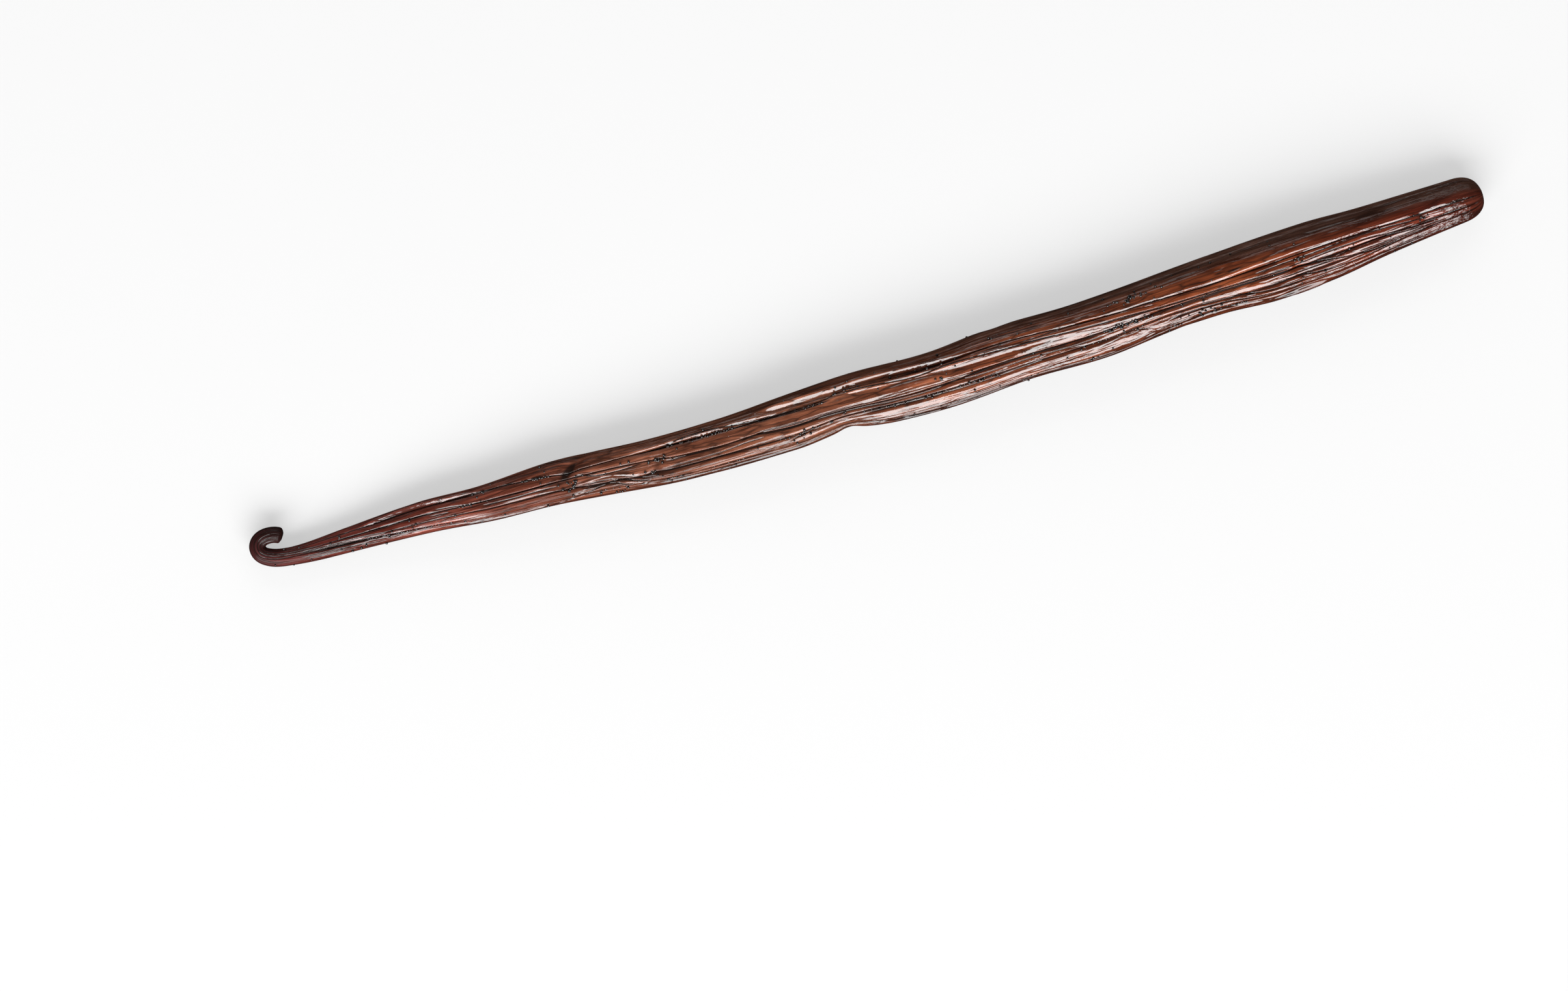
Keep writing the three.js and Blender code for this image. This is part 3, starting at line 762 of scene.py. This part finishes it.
bead_s, bead_angle = bead_places()
bead_size = chance.uniform(*BEAD_RADIUS, len(bead_s))
bead_rise = (bead_size * (1 - BEAD_SUNK))[:, None]
bead_centre = skin_point(bead_s, bead_angle) + skin_normal(bead_s, bead_angle) * bead_rise
highest = pod_high[2] / MM + BEAD_PROUD
bead_centre[:, 2] = np.clip(bead_centre[:, 2], bead_size, highest - bead_size)
beads = scattered("resin_beads", ball(*BEAD_GRID), bead_centre, bead_size)
print(len(bead_s), "beads,", len(beads.data.polygons), "faces")

# %% [markdown]
# ## Finishes
#
# One helper turns the colours of a paint chart into light, one adds a node with its settings and
# links, and one fills a colour ramp. Each finish is then a short list of nodes.


# %% Helpers for finishes
def linear(hex_colour):
    """An sRGB hex colour as linear red, green and blue, with alpha 1."""
    channels = [int(hex_colour[k : k + 2], 16) / 255 for k in (1, 3, 5)]
    return [c / 12.92 if c <= 0.04045 else ((c + 0.055) / 1.055) ** 2.4 for c in channels] + [1.0]


def add_node(tree, kind, links=(), values=(), **settings):
    """Adds a node, sets its properties, gives its inputs their values and joins its inputs up."""
    node = tree.nodes.new(kind)
    for name, value in settings.items():
        setattr(node, name, value)
    for name, value in dict(values).items():
        node.inputs[name].default_value = value
    for name, source in dict(links).items():
        tree.links.new(source, node.inputs[name])
    return node


def new_finish(name):
    """An empty material with a shader, and its node tree."""
    finish = bpy.data.materials.new(name)
    finish.use_nodes = True
    tree = finish.node_tree
    return finish, tree, tree.nodes["Principled BSDF"]


def set_ramp(node, stops):
    """Gives a colour ramp its stops: a position and a hex colour each."""
    ramp = node.color_ramp
    while len(ramp.elements) < len(stops):
        ramp.elements.new(1)
    for element, (position, hex_colour) in zip(ramp.elements, stops):
        element.position = position
        element.color = linear(hex_colour)


# %% [markdown]
# ### Cured skin
#
# The skin is like oiled leather: orange brown where it is stretched, and darker in patches. Its creases are
# darkened nearly to black, and its right flank and belly are darkened too; both are painted shade. Along
# its left side it is duller and more olive, more so towards the blossom end, and this is partly its own
# colour and partly painted shade. The oil gives it a crisp gloss, which fine lengthwise wrinkles break up.
# All this could be painted by hand, but noise whose streaks are given in millimetres covers every side
# alike. It reads the straightened place, so that the streaks run lengthwise and follow the hook.

# %% The patterns that run along the skin
skin_finish, tree, shader = new_finish("cured_oily_skin")
straight_place = add_node(tree, "ShaderNodeAttribute", attribute_name="straight").outputs["Vector"]
PER_MM = 1 / MM

STREAKS = {  # length along and width round the pod in mm, detail, and shift to a fresh part of the noise
    "patches": (16, 2.0, 2, 0),
    "blotches": (4, 0.9, 3, 31),
    "grain": (5, 0.2, 3, 62),
    "wrinkles": (8, 0.5, 3, 93),
    "specks": (0.32, 0.22, 2, 17),
    "speckled places": (9, 1.2, 1, 48),
    "sway": (5, 1.5, 2, 71),
    "crumples": (2.2, 0.8, 3, 26),
}
noises = {}
for name, (long_mm, across_mm, detail, shift) in STREAKS.items():
    across = PER_MM / across_mm
    stretch = add_node(
        tree, "ShaderNodeMapping", links={"Vector": straight_place},
        values={"Scale": (PER_MM / long_mm, across, across), "Location": (shift, shift, 0)})
    noises[name] = add_node(
        tree, "ShaderNodeTexNoise", links={"Vector": stretch.outputs["Vector"]},
        values={"Scale": 1.0, "Detail": detail, "Roughness": 0.55})
pattern = {name: noise.outputs["Fac"] for name, noise in noises.items()}
print(len(pattern), "patterns")

# %% A network of fine creases
NETWORKS = {"coarse": (9, 0.75), "fine": (3.2, 0.4)}  # length and width of a cell in mm
SWAY = 0.9  # how far the network is bent, in cells
bend = add_node(
    tree, "ShaderNodeVectorMath", operation="SCALE", values={"Scale": SWAY},
    links={0: noises["sway"].outputs["Color"]})
to_edge, plateau = {}, {}
for name, (long_mm, across_mm) in NETWORKS.items():
    across = PER_MM / across_mm
    stretch = add_node(
        tree, "ShaderNodeMapping", links={"Vector": straight_place},
        values={"Scale": (PER_MM / long_mm, across, across)})
    bent = add_node(
        tree, "ShaderNodeVectorMath", operation="ADD",
        links={0: stretch.outputs["Vector"], 1: bend.outputs["Vector"]})
    cells = add_node(
        tree, "ShaderNodeTexVoronoi", feature="DISTANCE_TO_EDGE", links={"Vector": bent.outputs["Vector"]},
        values={"Scale": 1.0, "Randomness": 1.0})
    to_edge[name] = cells.outputs["Distance"]
    swell = add_node(
        tree, "ShaderNodeMapRange", links={"Value": to_edge[name]}, interpolation_type="SMOOTHSTEP",
        values={"From Min": -0.12, "From Max": 0.22})
    plateau[name] = swell.outputs["Result"]
print(len(plateau), "networks")

# %% Where along and round the pod the skin changes
OLIVE_SHADE_SHIFT = 0.0255  # how far the olive side, partly painted shade, reaches round, in mm for each mm along
SHADED_WAY = (0, -0.8, -0.6)  # from the middle out to the right, and down

place = add_node(tree, "ShaderNodeSeparateXYZ", links={"Vector": straight_place})
olive_shade_place = add_node(
    tree, "ShaderNodeMath", operation="MULTIPLY_ADD", values={1: OLIVE_SHADE_SHIFT},
    links={0: place.outputs["X"], 2: place.outputs["Y"]})
shaded_place = add_node(
    tree, "ShaderNodeVectorMath", operation="DOT_PRODUCT", values={1: SHADED_WAY},
    links={0: straight_place})
from_stem = place.outputs["X"]
to_left = olive_shade_place.outputs["Value"]
to_shade = shaded_place.outputs["Value"]

CHANGES = {  # distance that it follows, from and to in mm, its value there, and its course between
    "ripe": (from_stem, 0, POD_LENGTH, 0, 1, "LINEAR"),
    "rough": (from_stem, 60, 120, 0.42, 0.22, "LINEAR"),
    "oily past the tail": (from_stem, 48, 90, 0.12, 1, "SMOOTHSTEP"),
    "oily before the end": (from_stem, 162, 167.5, 1, 0.3, "SMOOTHSTEP"),
    "crumpled": (from_stem, 157, 164, 0, 0.9, "SMOOTHSTEP"),
    # partly painted shade: the left side turns darker and more olive, more so towards the blossom end
    "olive with painted shade": (to_left, 4.5, 6.2, 0, 0.9, "SMOOTHSTEP"),
    "oily right of olive side": (to_left, 4.2, 5.2, 1, 0.34, "SMOOTHSTEP"),
    "shaded": (to_shade, 0.7, 2.4, 0, 1, "LINEAR"),
    "oily above shade": (to_shade, 1.21, 2.4, 1, 0.4, "LINEAR"),
}
change = {}
for name, (follows, start, end, first, last, course) in CHANGES.items():
    node = add_node(
        tree, "ShaderNodeMapRange", links={"Value": follows}, interpolation_type=course,
        values={"From Min": start * MM, "From Max": end * MM, "To Min": first, "To Max": last})
    change[name] = node.outputs["Result"]
print(len(change), "changes along and round the pod")

# %% The skin's colour
ripeness = add_node(tree, "ShaderNodeValToRGB", links={"Fac": change["ripe"]})
set_ramp(ripeness, [
    (0.0, "#2f1c1c"), (0.03, "#4c2628"), (0.07, "#6e332d"), (0.17, "#7c4034"), (0.3, "#7e4f3d"),
    (0.45, "#7f4f3a"), (0.62, "#7c432a"), (0.8, "#733a20"), (0.95, "#642a1c"), (1.0, "#4a2219"),
])
# the olive on the left side is partly the skin's own colour and partly painted shade
olive = add_node(
    tree, "ShaderNodeMix", data_type="RGBA", values={"B": linear("#584037")},
    links={"Factor": change["olive with painted shade"], "A": ripeness.outputs["Color"]})
coloured = olive.outputs["Result"]

TONES = [  # what the tone follows, and its stops
    (pattern["patches"], [(0.32, "#aea6a2"), (0.5, "#d6cfcb"), (0.7, "#ffffff")]),
    (pattern["grain"], [(0.3, "#bcb3ad"), (0.62, "#ffffff")]),
    (pattern["blotches"], [(0.35, "#c0b5ae"), (0.6, "#ffffff")]),
    # painted shade: the right flank and the belly are darkened
    (change["shaded"], [(0.0, "#ffffff"), (1.0, "#8a6a5a")]),
]
for follows, stops in TONES:
    tone = add_node(tree, "ShaderNodeValToRGB", links={"Fac": follows})
    set_ramp(tone, stops)
    darkened = add_node(
        tree, "ShaderNodeMix", data_type="RGBA", blend_type="MULTIPLY", values={"Factor": 1.0},
        links={"A": coloured, "B": tone.outputs["Color"]})
    coloured = darkened.outputs["Result"]
print(len(TONES), "tones over the skin's colour")

# %% Painted shade in the creases
crease_shade_mark = add_node(tree, "ShaderNodeAttribute", attribute_name="crease_shade")
# painted shade along the edges of the coarse crease network, weaker on the olive side
network_crease_shade = add_node(
    tree, "ShaderNodeMapRange", links={"Value": to_edge["coarse"]},
    values={"From Min": 0.0, "From Max": 0.09, "To Min": 0.75, "To Max": 0.0})
network_shade_thinned = add_node(
    tree, "ShaderNodeMath", operation="MULTIPLY",
    links={0: network_crease_shade.outputs["Result"], 1: change["oily right of olive side"]})
# painted shade, nearly black, at the bottom of the grooves and in deep kinks
deep_crease_shade = add_node(
    tree, "ShaderNodeMapRange", links={"Value": crease_shade_mark.outputs["Fac"]},
    values={"From Min": 0.12, "From Max": 0.6, "To Min": 0.0, "To Max": 0.96})
dark = add_node(
    tree, "ShaderNodeMath", operation="MAXIMUM",
    links={0: network_shade_thinned.outputs["Value"], 1: deep_crease_shade.outputs["Result"]})
crease_shaded_colour = add_node(
    tree, "ShaderNodeMix", data_type="RGBA", values={"B": linear("#120906")},
    links={"Factor": dark.outputs["Value"], "A": coloured})
tree.links.new(crease_shaded_colour.outputs["Result"], shader.inputs["Base Color"])
print(len(tree.nodes), "nodes with the skin's colour")

# %% The skin's gloss
wet_mark = add_node(tree, "ShaderNodeAttribute", attribute_name="wet")
oily = add_node(
    tree, "ShaderNodeMath", operation="MAXIMUM",
    links={0: change["oily past the tail"], 1: wet_mark.outputs["Fac"]})
coat = oily.outputs["Value"]
for name in ("oily right of olive side", "oily above shade", "oily before the end"):
    thinned = add_node(tree, "ShaderNodeMath", operation="MULTIPLY", links={0: coat, 1: change[name]})
    coat = thinned.outputs["Value"]
tree.links.new(coat, shader.inputs["Coat Weight"])
tree.links.new(change["rough"], shader.inputs["Roughness"])
SKIN_GLOSS = {"IOR": 1.5, "Specular IOR Level": 0.04, "Coat Roughness": 0.07, "Coat IOR": 1.5}
for name, value in SKIN_GLOSS.items():
    shader.inputs[name].default_value = value
print(len(tree.nodes), "nodes with its gloss")

# %% The skin's fine relief
speckled = add_node(
    tree, "ShaderNodeMapRange", links={"Value": pattern["speckled places"]},
    values={"From Min": 0.5, "From Max": 0.7, "To Min": 0.02, "To Max": 0.5})
RELIEF = [  # height, strength or where it is strong, and depth in mm
    (pattern["wrinkles"], 0.26, 0.07), (pattern["grain"], 0.14, 0.04), (plateau["coarse"], 0.42, 0.07),
    (plateau["fine"], 0.22, 0.035), (pattern["crumples"], change["crumpled"], 0.3),
    (pattern["specks"], speckled.outputs["Result"], 0.08),
]
below = {}
for height, strength, depth_mm in RELIEF:
    bump = add_node(
        tree, "ShaderNodeBump", links={"Height": height, **below}, values={"Distance": depth_mm * MM})
    if isinstance(strength, float):
        bump.inputs["Strength"].default_value = strength
    else:
        tree.links.new(strength, bump.inputs["Strength"])
    below = {"Normal": bump.outputs["Normal"]}
for name in ("Normal", "Coat Normal"):
    tree.links.new(below["Normal"], shader.inputs[name])
for half in skin_halves.values():
    half.data.materials.append(skin_finish)
print(len(tree.nodes), "nodes in all")

# %% [markdown]
# ### Dried resin
#
# Resin dries to a hard, smooth drop, like dark varnish, so every bead shows one sharp glint. Clear
# glass would show its depth too, but so small and dark a drop has none to see, so a nearly black
# gloss does. Its IOR is a little above that of most resins, for a brighter glint.

# %% The beads' finish
resin_finish, tree, shader = new_finish("dried_resin")
shader.inputs["Base Color"].default_value = linear("#090504")
shader.inputs["Roughness"].default_value = 0.06
shader.inputs["IOR"].default_value = 1.62
beads.data.materials.append(resin_finish)
print("finishes:", [finish.name for finish in bpy.data.materials])

# %% [markdown]
# ## Riding and replacing
#
# The two halves of the fine skin stand for the solid pod. They and the beads ride on the one body.

# %% Tie the pieces to the body
for half in skin_halves.values():
    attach(half, "root")
    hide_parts("pod")
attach(beads, "root")

# %% [markdown]
# ## Studio
#
# A pale floor under plain soft light. One long softbox stands low on the pod's right side, where it
# draws crisp ribbons on the folds that face it. Three weak fills, off both ends and behind, light
# the skin but are hidden from its gloss, where each would show as a grey patch. A low lamp behind
# does the opposite: it shows in the gloss alone, as a fine glint on the far side. The dome is dim,
# so the creases stay dark. Dome and floor are pale to the camera and dark to all other rays, so that
# they throw no veil over the skin.

# %% Camera
POD_TILT = math.radians(15.9)
PICTURE_SIZE = (2408, 1522)
TIP_IN_PICTURE = (2277.7, 297.0)
PIXELS_A_MM = 12.0
AIM_HEIGHT = 3.0  # mm, about half the pod's height
LENS = 100
SENSOR = 36

picture_right = np.array([math.cos(POD_TILT), -math.sin(POD_TILT), 0])
picture_up = np.array([math.sin(POD_TILT), math.cos(POD_TILT), 0])
tip = (end_point(POD_LENGTH)[0] - middle) * MM
to_centre = (PICTURE_SIZE[0] / 2 - TIP_IN_PICTURE[0]) * picture_right
to_centre = to_centre - (PICTURE_SIZE[1] / 2 - TIP_IN_PICTURE[1]) * picture_up
aim = tip + to_centre / PIXELS_A_MM * MM
aim[2] = AIM_HEIGHT * MM
distance = PICTURE_SIZE[0] / PIXELS_A_MM * MM / SENSOR * LENS

camera_data = bpy.data.cameras.new("camera")
camera_data.lens = LENS
camera_data.sensor_width = SENSOR
camera = bpy.data.objects.new("camera", camera_data)
camera.location = (aim[0], aim[1], aim[2] + distance)
camera.rotation_euler = (0, 0, -POD_TILT)
bpy.context.scene.collection.objects.link(camera)
bpy.context.scene.camera = camera
print("camera", round(distance, 3), "m above", np.round(aim, 4))


# %% Lights
LAMP_DISTANCE = 1.2
LAMPS = {  # degrees from straight up, side that it stands on, size in metres, and brightness
    "key_softbox": (56, -picture_up, (2.0, 0.76), 14),
    "stem_end_fill": (62, -picture_right, (0.9, 0.9), 2),
    "blossom_end_fill": (62, picture_right, (0.9, 0.9), 2),
    "far_side_fill": (66, picture_up, (1.6, 0.8), 2.6),
    "far_side_glint": (80, picture_up, (1.6, 0.36), 3),
}


def softbox(name, degrees_down, side, size, brightness):
    """A rectangular lamp that faces the pod. Its power is brightness * pi * area, so brightness is
    the light that its face gives off."""
    lamp = bpy.data.lights.new(name, "AREA")
    lamp.shape = "RECTANGLE"
    lamp.size, lamp.size_y = size
    lamp.energy = brightness * math.pi * size[0] * size[1]
    box = bpy.data.objects.new(name, lamp)
    lean = math.radians(degrees_down)
    direction = math.sin(lean) * side + math.cos(lean) * np.array([0, 0, 1])
    box.location = aim + direction * LAMP_DISTANCE
    box.rotation_euler = Vector(direction).to_track_quat("Z", "Y").to_euler()
    bpy.context.scene.collection.objects.link(box)
    return box


lamps = {name: softbox(name, *row) for name, row in LAMPS.items()}
lamps["far_side_glint"].visible_diffuse = False
for name in ("stem_end_fill", "blossom_end_fill", "far_side_fill"):
    lamps[name].visible_glossy = False
print("lamps:", list(lamps))

# %% Dome
BACKDROP = 0.8  # how bright the dome is to the camera
world = bpy.data.worlds.new("studio")
world.use_nodes = True
tree = world.node_tree
direction = add_node(tree, "ShaderNodeTexCoord")
height = add_node(tree, "ShaderNodeSeparateXYZ", links={"Vector": direction.outputs["Generated"]})
dome = add_node(
    tree, "ShaderNodeMapRange", links={"Value": height.outputs["Z"]},
    values={"From Min": 0.1, "From Max": 0.8, "To Min": 0.15, "To Max": 0.1})
ray = add_node(tree, "ShaderNodeLightPath")
seen = add_node(
    tree, "ShaderNodeMix", data_type="FLOAT", values={"B": BACKDROP},
    links={"Factor": ray.outputs["Is Camera Ray"], "A": dome.outputs["Result"]})
tree.links.new(seen.outputs["Result"], tree.nodes["Background"].inputs["Strength"])
tree.nodes["Background"].inputs["Color"].default_value = linear("#ffffff")
bpy.context.scene.world = world
bpy.context.scene.view_settings.view_transform = "Standard"

# %% Floor
FLOOR_SIDE = 3.0
PAPER_GLOW = 0.5  # how much light the paper gives off to the camera
floor_corners = np.array([(-1, -1, 0), (1, -1, 0), (1, 1, 0), (-1, 1, 0)]) * FLOOR_SIDE / 2
floor = new_piece("floor", floor_corners, [(0, 1, 2, 3)])
floor_finish, tree, shader = new_finish("studio_paper")
ray = add_node(tree, "ShaderNodeLightPath")
glow = add_node(
    tree, "ShaderNodeMath", operation="MULTIPLY", values={1: PAPER_GLOW},
    links={0: ray.outputs["Is Camera Ray"]})
paper = add_node(
    tree, "ShaderNodeMix", data_type="RGBA", values={"A": linear("#2c2a28"), "B": linear("#7c7c7c")},
    links={"Factor": ray.outputs["Is Camera Ray"]})
tree.links.new(glow.outputs["Value"], shader.inputs["Emission Strength"])
tree.links.new(paper.outputs["Result"], shader.inputs["Base Color"])
shader.inputs["Emission Color"].default_value = linear("#ffffff")
shader.inputs["Roughness"].default_value = 0.9
shader.inputs["Specular IOR Level"].default_value = 0.0
floor.data.materials.append(floor_finish)
print("floor", FLOOR_SIDE, "m on a side")
